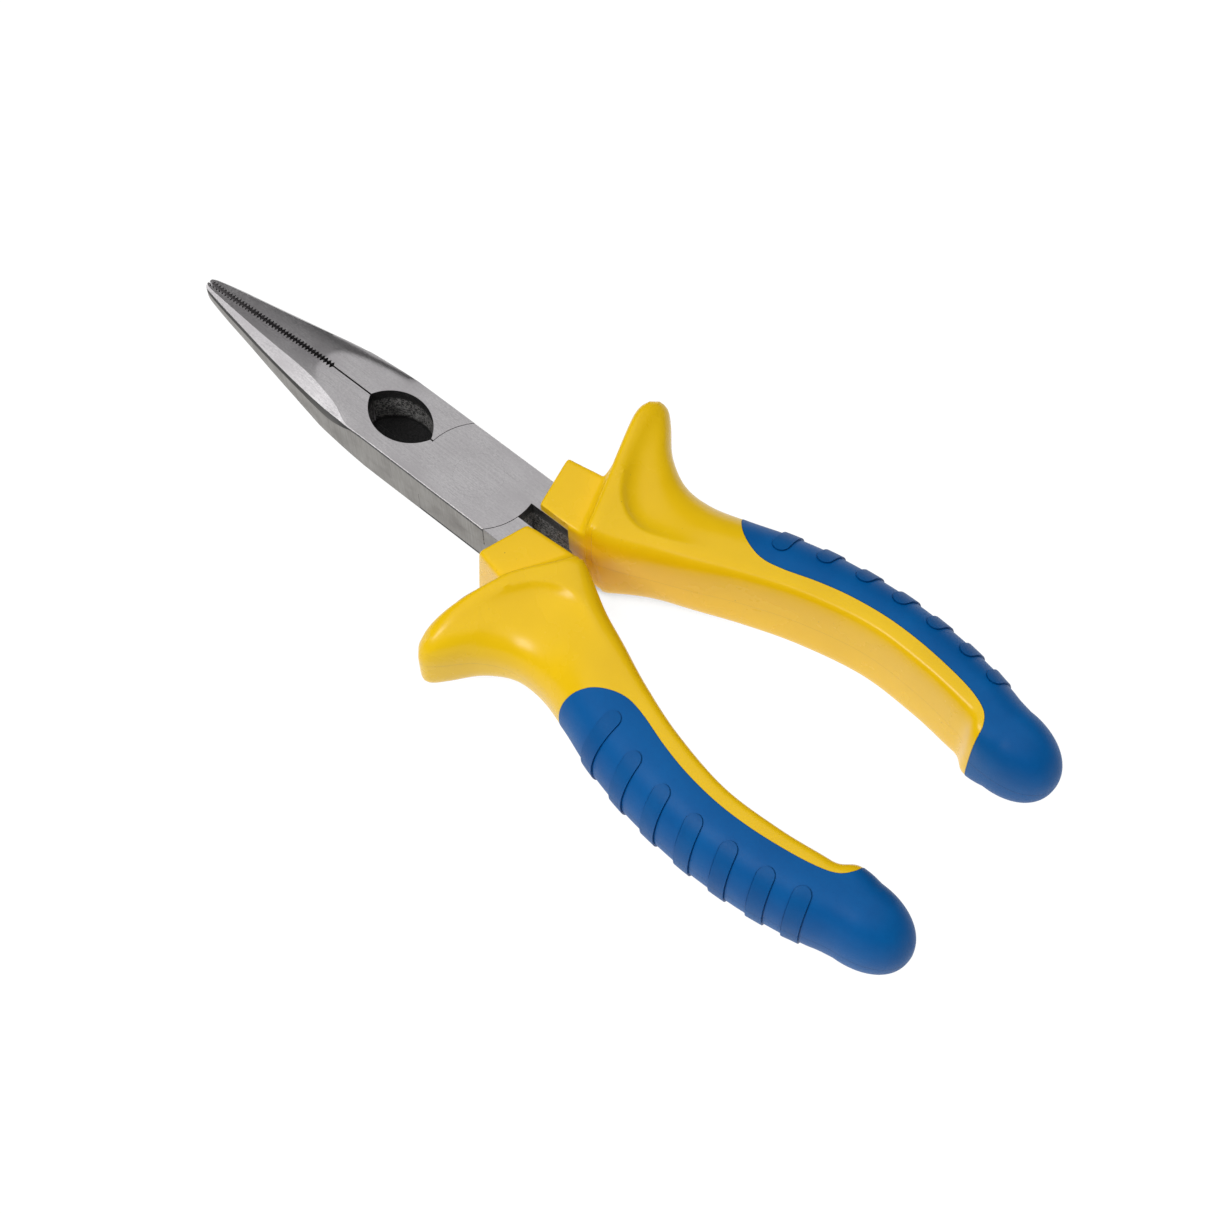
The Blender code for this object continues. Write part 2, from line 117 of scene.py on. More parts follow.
# Jaw stations: x and half width of the side, then for the plain upper edge and for the ground lower edge:
# outer edge of the bevel, fall to that edge, edge of the flat face, half height of the side face, hollow
JAW_STATIONS = [
    (22.0, 7.70, 7.70, 0.10, 7.60, 4.90, 0.00, 7.70, 0.13, 7.57, 4.45, 0.00),
    (24.5, 7.70, 7.68, 0.10, 7.58, 4.80, 0.00, 7.68, 0.18, 7.52, 4.20, 0.04),
    (26.5, 7.66, 7.62, 0.12, 7.50, 4.60, 0.00, 7.60, 0.35, 7.20, 3.20, 0.22),
    (30.0, 7.48, 7.40, 0.15, 7.26, 4.40, 0.00, 7.42, 0.85, 5.75, 1.90, 0.42),
    (34.0, 7.18, 7.05, 0.22, 6.85, 3.95, 0.00, 7.10, 1.10, 4.80, 1.90, 0.50),
    (38.0, 6.72, 6.50, 0.40, 6.15, 3.00, 0.00, 6.64, 1.12, 4.05, 2.10, 0.50),
    (43.0, 6.02, 5.70, 0.65, 5.20, 2.40, 0.00, 5.95, 1.10, 3.50, 2.00, 0.42),
    (50.0, 4.85, 4.55, 0.70, 3.95, 2.00, 0.00, 4.78, 1.10, 2.95, 1.35, 0.32),
    (57.0, 3.60, 3.40, 0.60, 2.90, 1.60, 0.00, 3.50, 0.90, 2.25, 0.90, 0.22),
    (63.0, 2.55, 2.45, 0.45, 2.00, 1.20, 0.00, 2.42, 0.65, 1.60, 0.65, 0.12),
    (68.2, 1.50, 1.42, 0.30, 1.15, 0.80, 0.00, 1.40, 0.40, 0.95, 0.45, 0.03),
    (69.4, 0.95, 0.88, 0.22, 0.70, 0.50, 0.00, 0.90, 0.40, 0.45, 0.30, 0.01),
]
BLOCK_ROWS = (SHANK_REAR - 1.0, -10.0, 0.0, 10.0, 18.0)    # x of the rows across the plain joint
JAW_STEP = 0.6                  # spacing of the rows along the jaws
TOP_POINTS = 9
TOP_MIDDLE = 0.06               # the first point's share of the way from the middle to the edge
HOLLOW_POINTS = 9
HOLLOW_SKEW = 0.7               # below 1, the hollow is deepest above the middle of the flank
FLANK_CURVE = 1.5               # above 1, the flank is steep at the bevel and bellies out below
LEAST_FLANK = 0.1
HOLLOW_TOP = 1.15               # fall from the flat face to the hollow's upper edge
JAW_END_HALF = 0.9              # half height of that edge at the tip
HOLLOW_FADE = 2.6               # height over which the hollow's painted shade fades
SCALE_SMOOTH = 3.0              # height above which the hole's wall is smooth

# ---------------------------------------------------------------- grip dimensions, in millimetres
COLLAR_HALF = 7.25
COLLAR_POWER = 16.0             # squareness of the collar's section
COLLAR_FRONT = ((-13.6, 1.9), (-10.8, 12.3))    # inner and outer corner of the front edge in plan
COLLAR_REAR = ((-23.4, 1.7), (-18.8, 13.9))     # corners where the collar meets the guard's front face
COLLAR_LENGTH = 9.0
COLLAR_ROUND = 0.5
LEAN_X = -0.08                  # the collar's front leans back towards the top
LEAN_Y = 0.07                   # and its inner side leans outwards
LEAN_WIDTH = 10.0               # width from the inner side over which that lean fades
BARE_X = -19.6                  # the steel's inner side is bare ahead of this
BARE_LENGTH = 12.0
BARE_INNER = -5.0               # the cut that bares it starts well beyond the middle plane
BARE_STEP = 0.1                 # and ends this far behind the steel's face
GUARD_FRONT = ((-23.4, 1.9), (-13.7, 26.2))     # the guard's front face in plan, inside the rounded edge
GUARD_HALF = 10.2
SET_BACK = 0.24                 # above the middle the guard's inner side leans back
SET_BACK_WIDTH = 11.0           # width and run over which that fades
SET_BACK_RUN = 14.0
GUARD_ROUND = 1.0
GUARD_END = (4.6, 3.6)          # half axes of the rounding at the outer end, across and back
GUARD_FILLET = 1.8
GUARD_POWERS = (8.0, 2.2, 8.0)  # squareness of the inner side, and of the outer side above and below
GUARD_PEAK = 0.33               # place of the highest point along the section
PEAK_SHIFT = 0.17               # how far that is from the middle
FACE_ROWS = 30                  # rows over the guard's front face

# Handle stations: inner x and y, outer x and y, half height, place of the highest point along the
# section, squareness of the inner side, and of the outer side above and below
HANDLE_STATIONS = [
    (-24.8, 2.0, -13.8, 30.6, 10.2, 0.33, 8.0, 2.2, 8.0),
    (-25.2, 2.1, -15.0, 31.9, 10.2, 0.33, 7.7, 2.3, 7.6),
    (-25.8, 2.2, -16.6, 32.2, 10.1, 0.34, 7.2, 2.3, 6.8),
    (-26.8, 2.5, -18.8, 30.4, 9.9, 0.36, 6.4, 2.4, 5.6),
    (-28.8, 3.2, -23.0, 26.0, 9.6, 0.39, 5.2, 2.5, 4.2),
    (-31.6, 4.4, -28.6, 23.2, 9.4, 0.40, 4.4, 2.5, 3.0),
    (-36.0, 6.4, -35.0, 23.1, 9.2, 0.40, 4.2, 2.4, 2.5),
    (-42.0, 9.0, -42.0, 25.0, 9.2, 0.39, 4.6, 2.3, 2.3),
    (-50.0, 12.7, -50.0, 27.7, 9.3, 0.36, 5.6, 2.2, 2.2),
    (-60.0, 16.3, -60.0, 29.8, 9.4, 0.34, 6.2, 2.2, 2.2),
    (-72.0, 18.8, -72.0, 30.8, 9.4, 0.34, 6.4, 2.2, 2.2),
    (-83.0, 18.6, -83.0, 30.4, 9.4, 0.35, 6.4, 2.2, 2.2),
    (-91.0, 17.5, -91.0, 29.2, 9.4, 0.37, 5.6, 2.2, 2.2),
    (-94.0, 16.7, -94.0, 28.5, 9.3, 0.40, 4.6, 2.2, 2.2),
    (-96.3, 14.6, -96.3, 28.0, 9.3, 0.44, 3.8, 2.2, 2.2),
    (-98.5, 14.0, -98.5, 27.3, 9.2, 0.47, 3.2, 2.2, 2.2),
    (-101.0, 13.9, -101.0, 26.7, 9.1, 0.50, 2.6, 2.2, 2.2),
]
ROW_STEP = 0.45
RING_POINTS = 144
END_ROWS = 26
END_ROUND = 0.92                # below 1, the end is blunter than an ellipse
GRIP_END_Y = 19.9

# Ridge behind which the thumb rest is dished: it follows the guard's rim and then the inner top edge
RIDGE = [(-14.6, 33.0), (-15.4, 29.5), (-16.2, 26.0), (-17.5, 22.0), (-19.4, 17.5), (-21.5, 14.0),
         (-24.0, 11.0), (-27.2, 9.0), (-31.0, 8.6), (-36.0, 10.4), (-42.0, 13.0)]
DISH_DEPTH = 0.19               # share of the height that the dish takes away at the guard
DISH_RUN = 1.6                  # how quickly the surface falls behind the ridge
DISH_ROUND = 0.22               # rounding of the ridge itself
DISH_START = -26.0              # the dish fades out from here
DISH_END = -44.0                # to here

# Sleeve
SLEEVE_WALL = 1.6
SEAM = 0.07                     # gap between the sleeve and the core
SLEEVE_PROUD = 0.05             # how far the sleeve stands out of the core
# Edge of the sleeve on the top face, from the outer side round the nose and along the inner side
SLEEVE_EDGE = [
    (-43.4, 31.0), (-41.1, 28.4), (-40.6, 25.6), (-41.5, 22.6), (-43.7, 20.0), (-46.7, 18.3),
    (-50.0, 17.6), (-54.0, 18.3), (-60.0, 20.2), (-66.0, 21.6), (-73.0, 22.4), (-80.0, 22.3),
    (-87.0, 21.5), (-92.0, 20.5), (-95.2, 19.2), (-96.8, 17.4), (-97.4, 15.0), (-97.6, 8.0),
]
NOSE_X = -38.6                  # front of the sleeve's nose, at mid height
NOSE_BACK = 4.4                 # half axes of its rounding in side view
NOSE_HALF = 9.7
ZONE_HALF = 14.0                # half height of the plan cuts, clear of the grip
ZONE_REAR = -125.0
ZONE_INNER = 8.0
ZONE_OUTER = (-43.2, 45.0)      # front corner of the zone, outside the grip
ZONE_MIDDLE_Y = 20.0
ZONE_HALF_WIDTH = 30.0

# Ribs: x and y of the tip on the top face, and how far the rib leans rearwards per millimetre outwards
RIBS = [(-50.6, 20.6, -0.12), (-57.6, 23.8, 0.0), (-64.8, 25.3, 0.10), (-72.0, 25.9, 0.19),
        (-79.2, 25.9, 0.21), (-86.4, 25.4, 0.23), (-92.8, 24.2, 0.24)]
RIB_WIDTH = 3.0
RIB_RUN = 16.0                  # length in plan, which takes the ribs past the outer side
RIB_RISE = 0.42
RIB_GROOVE = (0.15, 0.05)       # width and depth of the fine groove round each rib

CURVE_STEP = 0.35               # spacing of the points on curved outlines
SHARP_ANGLE = math.radians(32)

# ---------------------------------------------------------------- stage, in metres, watts and degrees
FLOOR_HALF = 4.0
FLOOR_GLOW = 1.0
FLOOR_DIMMEST = 0.3             # share of the glow that is left right under the tool
FLOOR_OPENNESS = (0.02, 0.20)   # from the most to the least shaded floor
FLOOR_REACH = 0.03              # how near the tool has to be to shade the floor
WORLD_LEVEL = 0.1
# Lights: name, size, power, azimuth and elevation, and distance from the origin
LIGHTS = [("overhead", (2.0, 2.0), 14.5, 0.0, 89.9, 1.2), ("side", (0.32, 0.32), 4.0, 165.0, 46.0, 1.0)]
CAMERA_AZIMUTH = 222.19
CAMERA_ELEVATION = 61.0
CAMERA_ROLL = -1.19
CAMERA_PLACE = (392.9, -22.58, 20.70)   # back, left and down from the hinge, in millimetres
CAMERA_LENS = 65.25                     # focal length on a 36 mm sensor


# ---------------------------------------------------------------- curves

def spline(points, step):
    """A smooth curve through points of any dimension, with points about step apart."""
    points = np.array(points, float)
    padded = np.vstack([2 * points[0] - points[1], points, 2 * points[-1] - points[-2]])
    result = []
    for before, start, end, after in zip(padded, padded[1:], padded[2:], padded[3:]):
        count = max(1, math.ceil(np.linalg.norm((end - start)[:2]) / step))
        for t in np.arange(count) / count:
            result.append(0.5 * (2 * start + (end - before) * t
                                 + (2 * before - 5 * start + 4 * end - after) * t ** 2
                                 + (3 * start - before - 3 * end + after) * t ** 3))
    return np.array(result + [points[-1]])


def arc(centre, radius, start, end):
    count = max(2, math.ceil(abs(end - start) * radius / CURVE_STEP))
    angles = np.linspace(start, end, count + 1)
    return [(centre[0] + radius * math.cos(a), centre[1] + radius * math.sin(a)) for a in angles]


def even_steps(points, count):
    """A closed curve's points moved to equal distances along it."""
    closed = np.vstack([points, points[:1]])
    lengths = np.concatenate([[0.0], np.cumsum(np.linalg.norm(np.diff(closed, axis=0), axis=1))])
    places = np.linspace(0.0, lengths[-1], count, endpoint=False)
    return np.stack([np.interp(places, lengths, column) for column in closed.T], axis=1)


def grown(outline, amount):
    """An anticlockwise outline moved outwards, corner by corner."""
    points = np.array(outline, float)
    into = points - np.roll(points, 1, axis=0)
    away = np.roll(points, -1, axis=0) - points
    into /= np.linalg.norm(into, axis=1)[:, None]
    away /= np.linalg.norm(away, axis=1)[:, None]
    normal = np.stack([into[:, 1] + away[:, 1], -into[:, 0] - away[:, 0]], axis=1)
    normal /= np.linalg.norm(normal, axis=1)[:, None]
    return points + normal * amount


# ---------------------------------------------------------------- meshes

def add_mesh(name, mesh):
    item = bpy.data.objects.new(name, mesh)
    bpy.context.scene.collection.objects.link(item)
    return item


def tidy_mesh(mesh):
    work = bmesh.new()
    work.from_mesh(mesh)
    bmesh.ops.remove_doubles(work, verts=work.verts, dist=1e-6)
    bmesh.ops.recalc_face_normals(work, faces=work.faces)
    work.to_mesh(mesh)
    work.free()


def loft(name, rings, tip=None, finishes=None):
    """A closed skin through rings of equal length, in millimetres, with a finish for each strip."""
    rings = np.array(rings)
    rows, count = rings.shape[:2]
    vertices = rings.reshape(-1, 3) * MM
    faces = []
    for row in range(rows - 1):
        for i in range(count):
            j = (i + 1) % count
            first = row * count
            faces.append((first + i, first + j, first + count + j, first + count + i))
    faces.append(tuple(range(count)))
    last = (rows - 1) * count
    if tip is None:
        faces.append(tuple(range(last, last + count)))
    else:
        vertices = np.vstack([vertices, np.array(tip)[None] * MM])
        faces += [(last + i, last + (i + 1) % count, rows * count) for i in range(count)]
    mesh = bpy.data.meshes.new(name)
    mesh.from_pydata(vertices.tolist(), [], faces)
    if finishes is not None:
        strips = list(finishes) * (rows - 1)
        mesh.polygons.foreach_set("material_index", strips + [0] * (len(faces) - len(strips)))
    tidy_mesh(mesh)
    return add_mesh(name, mesh)


def prism(name, outline, low, high):
    """A flat outline in millimetres, extruded from low to high."""
    curve = bpy.data.curves.new(name, "CURVE")
    curve.dimensions = "2D"
    curve.fill_mode = "BOTH"
    curve.extrude = (high - low) / 2 * MM
    line = curve.splines.new("POLY")
    line.points.add(len(outline) - 1)
    for point, (x, y) in zip(line.points, outline):
        point.co = (x * MM, y * MM, 0.0, 1.0)
    line.use_cyclic_u = True
    flat = bpy.data.objects.new(name + "_curve", curve)
    bpy.context.scene.collection.objects.link(flat)
    solid = add_mesh(name, evaluated(flat))
    solid.location.z = (low + high) / 2 * MM
    bpy.data.objects.remove(flat)
    tidy_mesh(solid.data)
    return solid


def turned(name, profile, steps):
    work = bmesh.new()
    points = [work.verts.new((r * MM, 0.0, z * MM)) for r, z in profile]
    for first, second in zip(points, points[1:]):
        work.edges.new((first, second))
    mesh = bpy.data.meshes.new(name)
    work.to_mesh(mesh)
    work.free()
    item = add_mesh(name, mesh)
    screw = item.modifiers.new("Turn", "SCREW")
    screw.axis = "Z"
    screw.angle = math.tau
    screw.steps = steps
    screw.render_steps = steps
    screw.use_merge_vertices = True
    screw.merge_threshold = 1e-6
    return item


def add_boolean(item, tool, operation):
    modifier = item.modifiers.new(operation.title() + "_" + tool.name, "BOOLEAN")
    modifier.operation = operation
    modifier.solver = "EXACT"
    modifier.material_mode = "TRANSFER"
    modifier.object = tool


def evaluated(item):
    bpy.context.view_layer.update()
    graph = bpy.context.evaluated_depsgraph_get()
    return bpy.data.meshes.new_from_object(item.evaluated_get(graph), depsgraph=graph)


def finish_shape(item):
    """The evaluated mesh of a modelled shape, with smooth shading and sharp edges by angle."""
    mesh = evaluated(item)
    tidy_mesh(mesh)
    mesh.shade_smooth()
    mesh.set_sharp_from_angle(angle=SHARP_ANGLE)
    return mesh


def sharpen_borders(mesh):
    """Makes every border between two finishes a sharp edge."""
    work = bmesh.new()
    work.from_mesh(mesh)
    for edge in work.edges:
        if len({face.material_index for face in edge.link_faces}) > 1:
            edge.smooth = False
    work.to_mesh(mesh)
    work.free()


def remove_scratch():
    """Takes away the mesh objects that were only tools for making others."""
    for item in list(bpy.context.scene.objects):
        if item.type == "MESH" and "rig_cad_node" not in item:
            bpy.data.objects.remove(item)


# ---------------------------------------------------------------- steel

def jaw_rows():
    """Stations along the head: the joint's plain block and then the jaws' finer rows."""
    first = list(JAW_STATIONS[0])
    block = [[x] + first[1:] for x in BLOCK_ROWS]
    columns = np.array(JAW_STATIONS)
    places = np.arange(JAW_STATIONS[0][0], JAW_STATIONS[-2][0], JAW_STEP)
    places = np.append(places, [JAW_STATIONS[-2][0], (JAW_STATIONS[-2][0] + TIP_X) / 2, TIP_X])
    smooth = spline(columns, JAW_STEP / 2)
    rows = [[x] + [float(np.interp(x, smooth[:, 0], smooth[:, k])) for k in range(1, 12)]
            for x in places]
    return block + rows


def top_height(x, y):
    """Height of the ground top: flat over the joint, crowned and falling along the jaws."""
    return min(JOINT_HALF, JOINT_HALF - TAPER * (x - FLAT_END) - CROWN * y ** 3)


def head_quarter(x, side_y, bevel_y, bevel_fall, top_y, side_z, hollow):
    """Points from the middle of one face round its edge to the middle of the side."""
    shares = np.linspace(TOP_MIDDLE, 1.0, TOP_POINTS)
    quarter = [(top_y * t, top_height(x, top_y * t)) for t in shares]
    bevel_z = quarter[-1][1] - bevel_fall
    side_z = min(side_z, bevel_z - LEAST_FLANK)
    for t in np.linspace(0.0, 1.0, HOLLOW_POINTS):
        sag = hollow * math.sin(math.pi * t ** HOLLOW_SKEW)
        y = bevel_y + (side_y - bevel_y) * t ** FLANK_CURVE - sag
        quarter.append((y, bevel_z + (side_z - bevel_z) * t))
    return quarter + [(side_y, side_z / 3)]


def head_ring(row):
    """One closed section of the head: the plain edge uppermost, the ground edge below it."""
    x, side_y = row[:2]
    plain = head_quarter(x, side_y, *row[2:7])
    bevelled = head_quarter(x, side_y, *row[7:12])
    sides = [plain, [(y, -z) for y, z in reversed(bevelled)]]
    sides += [[(-y, -z) for y, z in bevelled], [(-y, z) for y, z in reversed(plain)]]
    return [(x, y, z) for side in sides for y, z in side]


def head_finishes():
    """Which finish each strip of the head's skin has: 0 ground, 1 hollow in painted shade, 2 side, 3
    bevel in painted highlight.
    """
    flank = HOLLOW_POINTS - 1
    down = [0] * TOP_POINTS + [2] * flank + [2] * 3 + [1] * flank + [3] + [0] * TOP_POINTS
    up = [0] * (TOP_POINTS - 1) + [3] + [1] * flank + [2] * 3 + [2] * flank + [0] * (TOP_POINTS + 1)
    return down + up


def tooth_outline():
    """The jaw's toothed face from near the tip back to where it becomes smooth."""
    count = int((TIP_X - TEETH_START) / TOOTH_PITCH)
    points = []
    for i in range(count):
        x = TEETH_START + (count - i) * TOOTH_PITCH
        points.append((x, -FACE_GAP))
        points.append((x - TOOTH_PITCH / 2, -FACE_GAP - TOOTH_DEPTH))
    points.append((TEETH_START, -FACE_GAP))
    return points


def half_outline():
    """Plan outline of half B: lap disc, shank on +Y behind the pivot, jaw on -Y ahead of it."""
    beyond = 12.0
    disc_r = SHOULDER_R - SHOULDER_GAP / 2
    edge_angle = math.asin(JOINT_Y / disc_r)
    face_angle = math.asin(FACE_GAP / disc_r)
    crotch_angle = math.asin(CROTCH_HALF / disc_r)
    hole_centre = (HOLE_X, HOLE_ARC_R - HOLE_HALF_WIDTH)
    hole_angle = math.asin((hole_centre[1] + FACE_GAP) / HOLE_ARC_R)
    outline = arc((0, 0), disc_r, -face_angle, edge_angle - DISC_CLOSING)
    closed_r = SHOULDER_R + SHOULDER_GAP / 2 - LAP_GAP
    outline.append((closed_r * math.cos(edge_angle), closed_r * math.sin(edge_angle)))
    outline += [(outline[-1][0], beyond), (SHANK_REAR, beyond), (SHANK_REAR, CROTCH_HALF)]
    outline += arc((0, 0), disc_r, math.pi - crotch_angle, math.pi + edge_angle)
    outline += [(outline[-1][0], -beyond), (TIP_X + beyond, -beyond), (TIP_X + beyond, -FACE_GAP)]
    outline += tooth_outline()
    outline += arc(hole_centre, HOLE_ARC_R, -hole_angle, hole_angle - math.pi)
    return outline


def rivet_profile(margin, overrun):
    """Half profile of the rivet, or of its bore with a margin and ends that run past the faces."""
    end = JOINT_HALF + overrun
    neck_z = JOINT_HALF - RIVET_HEAD_DEPTH
    rows = [(0.0, end), (RIVET_HEAD_R + margin, end)]
    rows += [(RIVET_HEAD_R + margin, JOINT_HALF - margin), (RIVET_R + margin, neck_z - margin)]
    return rows + [(r, -z) for r, z in reversed(rows)]


def shade_sheet_outline():
    """Half B's share of the hole, and a little more to run into the wall, for the dark sheet of painted
    shade.
    """
    centre = (HOLE_X, HOLE_ARC_R - HOLE_HALF_WIDTH)
    reach = HOLE_ARC_R + SHADE_SHEET_OVERLAP
    angle = math.asin((centre[1] + SHADE_SHEET_GAP) / reach)
    return arc(centre, reach, angle - math.pi, -angle)


def make_steel(materials, shade_sheet_side):
    """A half's forging in half B's place.  Cut walls show dark scale, but the jaws' faces are ground.

    The last argument is 1, or -1 for the half that is turned over later, so that both halves' dark sheets
    of painted shade lie low in the hole.
    """
    # The hollow finish is painted shade, and the fourth finish, for the bevel, is a painted highlight.
    ground, hollow, side, painted_highlight, scale = materials
    over = 3.0
    steel = loft("steel_blank", [head_ring(row) for row in jaw_rows()], finishes=head_finishes())
    for material in (ground, hollow, side, painted_highlight):
        steel.data.materials.append(material)
    plan = prism("plan", half_outline(), -JOINT_HALF - over, JOINT_HALF + over)
    plan.data.materials.append(scale)
    add_boolean(steel, plan, "INTERSECT")
    room = prism("upper_room", arc((0, 0), SHOULDER_R + SHOULDER_GAP / 2, 0.0, math.tau)[:-1],
                 -LAP_GAP / 2, JOINT_HALF + over)
    room.data.materials.append(scale)
    add_boolean(steel, room, "DIFFERENCE")
    bore = turned("bore", rivet_profile(RIVET_SEAM, over), RIVET_STEPS)
    bore.data.materials.append(scale)
    add_boolean(steel, bore, "DIFFERENCE")
    # A dark sheet in the black scale finish across the lower part of the hole: painted shade in place of
    # the shadowed floor seen through it.
    levels = sorted(level * shade_sheet_side for level in SHADE_SHEET_LEVELS)
    shade_sheet = prism("shade_sheet", shade_sheet_outline(), *levels)
    shade_sheet.data.materials.append(scale)
    add_boolean(steel, shade_sheet, "UNION")
    mesh = finish_shape(steel)
    scale_index = list(mesh.materials).index(scale)
    ground_index = list(mesh.materials).index(ground)
    ground_from = (HOLE_X + HOLE_HALF_WIDTH * 2) * MM
    for face in mesh.polygons:
        if face.material_index == scale_index and face.center.x > ground_from:
            face.material_index = ground_index
    sharpen_borders(mesh)
    return mesh


# ---------------------------------------------------------------- grips

def section(inner, outer, half, peak, powers, inset=0.0, ahead=0.0):
    """One closed section across the handle, with points at equal distances along it."""
    inner, outer = np.array(inner, float), np.array(outer, float)
    across = (outer - inner) / np.linalg.norm(outer - inner)
    forward = np.array([across[1], -across[0]])
    width = np.linalg.norm(outer - inner) - 2 * inset
    start = inner + across * inset + forward * ahead
    angles = np.linspace(0.0, math.tau, 1440, endpoint=False)
    c, s = np.cos(angles), np.sin(angles)
    power = np.where(c < 0, powers[0], np.where(s >= 0, powers[1], powers[2]))
    reach = np.where(c >= 0, 1 - peak, peak)
    along = width * (peak + np.sign(c) * reach * np.abs(c) ** (2 / power))
    height = (half - inset) * np.sign(s) * np.abs(s) ** (2 / power)
    flat = even_steps(np.stack([along, height], axis=1), RING_POINTS)
    plan = start + across * flat[:, :1]
    return np.column_stack([plan, flat[:, 1]])


def between(first, second, t):
    """Inner and outer corner of a section part of the way from one pair of corners to another."""
    return np.array(first) * (1 - t) + np.array(second) * t


def leaned(ring, amount):
    """The collar's front and inner side lean a little with height."""
    inner_share = np.clip((COLLAR_FRONT[1][1] - ring[:, 1]) / LEAN_WIDTH, 0.0, 1.0)
    ring[:, 0] += LEAN_X * amount * ring[:, 2]
    ring[:, 1] += LEAN_Y * amount * ring[:, 2] * inner_share
    return ring


def collar_rings():
    """The collar from its front face back to the start of the fillet."""
    rings = []
    powers = (COLLAR_POWER,) * 3
    for angle in np.linspace(0.0, math.pi / 2, 5):
        inset = COLLAR_ROUND * (1 - math.sin(angle))
        ahead = COLLAR_ROUND * (math.cos(angle) - 1)
        ring = section(*COLLAR_FRONT, COLLAR_HALF, 0.5, powers, inset=inset, ahead=ahead)
        rings.append(leaned(ring, 1.0))
    for t in (0.2, 0.4, 0.6):
        ring = section(*between(COLLAR_FRONT, COLLAR_REAR, t), COLLAR_HALF, 0.5, powers)
        rings.append(leaned(ring, 1 - t))
    return rings


def set_back(ring):
    """The guard's inner side lies a little further back above the middle than below it."""
    inner_share = smoothstep((COLLAR_REAR[1][1] - ring[:, 1]) / SET_BACK_WIDTH)
    near = 1 - smoothstep((GUARD_FRONT[0][0] - 1 - ring[:, 0]) / SET_BACK_RUN)
    ring[:, 0] -= SET_BACK * np.maximum(ring[:, 2], 0.0) * inner_share * near
    return ring


def guard_front_rings():
    """Round the fillet, out over the guard's flat front face, and round its edge."""
    rings = []
    inner, outer = np.array(GUARD_FRONT)
    across = (outer - inner) / np.linalg.norm(outer - inner)
    rim_half = GUARD_HALF - GUARD_ROUND
    forward = (np.array(COLLAR_FRONT) - np.array(COLLAR_REAR)) / COLLAR_LENGTH
    for t in np.linspace(0.0, 1.0, FACE_ROWS):
        eased = t ** 2
        half = COLLAR_HALF + (rim_half - COLLAR_HALF) * eased
        left = 1 - min(1.0, (half - COLLAR_HALF) / GUARD_FILLET)
        ahead = GUARD_FILLET * (1 - math.sqrt(1 - left ** 2))
        powers = [COLLAR_POWER + (power - COLLAR_POWER) * eased ** 0.7 for power in GUARD_POWERS]
        corners = between(COLLAR_REAR, GUARD_FRONT, eased) + forward * ahead
        rings.append(section(*corners, half, 0.5 - PEAK_SHIFT * eased, powers))
    for angle in np.linspace(0.0, math.pi / 2, 9)[1:]:
        grow = GUARD_ROUND * math.sin(angle)
        back = GUARD_ROUND * (1 - math.cos(angle))
        reach = GUARD_END[0] * math.sqrt(1 - (1 - back / GUARD_END[1]) ** 2)
        rings.append(section(inner, outer + across * reach, rim_half + grow, GUARD_PEAK, GUARD_POWERS,
                             ahead=-back))
    return rings


def handle_rings(inset):
    """The handle from the guard's rim to its rounded end, and the point that closes it."""
    stations = np.array(HANDLE_STATIONS)
    rows = spline(stations, ROW_STEP)
    rings = [section(row[0:2], row[2:4], row[4], row[5], row[6:9], inset=inset) for row in rows]
    last = rows[-1]
    middle = (last[1] + last[3]) / 2
    half_width = (last[3] - last[1]) / 2 - inset
    end_x = GRIP_END_X + inset
    for i in range(1, END_ROWS):
        angle = math.pi / 2 * i / END_ROWS
        x = last[0] + (end_x - last[0]) * math.sin(angle)
        y = middle + (GRIP_END_Y - middle) * math.sin(angle)
        reach = half_width * math.cos(angle) ** END_ROUND
        height = (last[4] - inset) * math.cos(angle) ** END_ROUND
        rings.append(section((x, y - reach), (x, y + reach), height, last[5], last[6:9]))
    return rings, (end_x, GRIP_END_Y, 0.0)


def ridge_distance(points):
    """Distance from the ridge line in plan, positive behind it."""
    line = spline(RIDGE, 0.5)
    best = np.full(len(points), 1e9)
    signed = np.zeros(len(points))
    for start, end in zip(line, line[1:]):
        along = end - start
        t = np.clip(((points - start) @ along) / (along @ along), 0.0, 1.0)
        away = points - (start + t[:, None] * along)
        distance = np.linalg.norm(away, axis=1)
        side = along[0] * (points[:, 1] - start[1]) - along[1] * (points[:, 0] - start[0])
        nearer = distance < best
        best[nearer] = distance[nearer]
        signed[nearer] = (np.sign(-side) * distance)[nearer]
    return signed


def smoothstep(t):
    t = np.clip(t, 0.0, 1.0)
    return t * t * (3 - 2 * t)


def dished(ring):
    """Lowers the top and bottom behind the ridge, which leaves the guard's rim standing."""
    signed = ridge_distance(ring[:, :2])
    behind = (signed + np.hypot(signed, DISH_ROUND)) / 2
    fall = 1 - np.exp(-behind / DISH_RUN)
    fade = 1 - smoothstep((DISH_START - ring[:, 0]) / (DISH_START - DISH_END))
    ring[:, 2] *= 1 - DISH_DEPTH * fall * fade
    return ring


def grip_skin(name, inset, with_front):
    """The grip's skin moved inwards by inset, with or without the guard's front and the collar."""
    rings, tip = handle_rings(inset)
    rings = [dished(set_back(ring)) for ring in rings]
    if with_front:
        rings = collar_rings() + [set_back(ring) for ring in guard_front_rings()] + rings
    return loft(name, rings, tip)


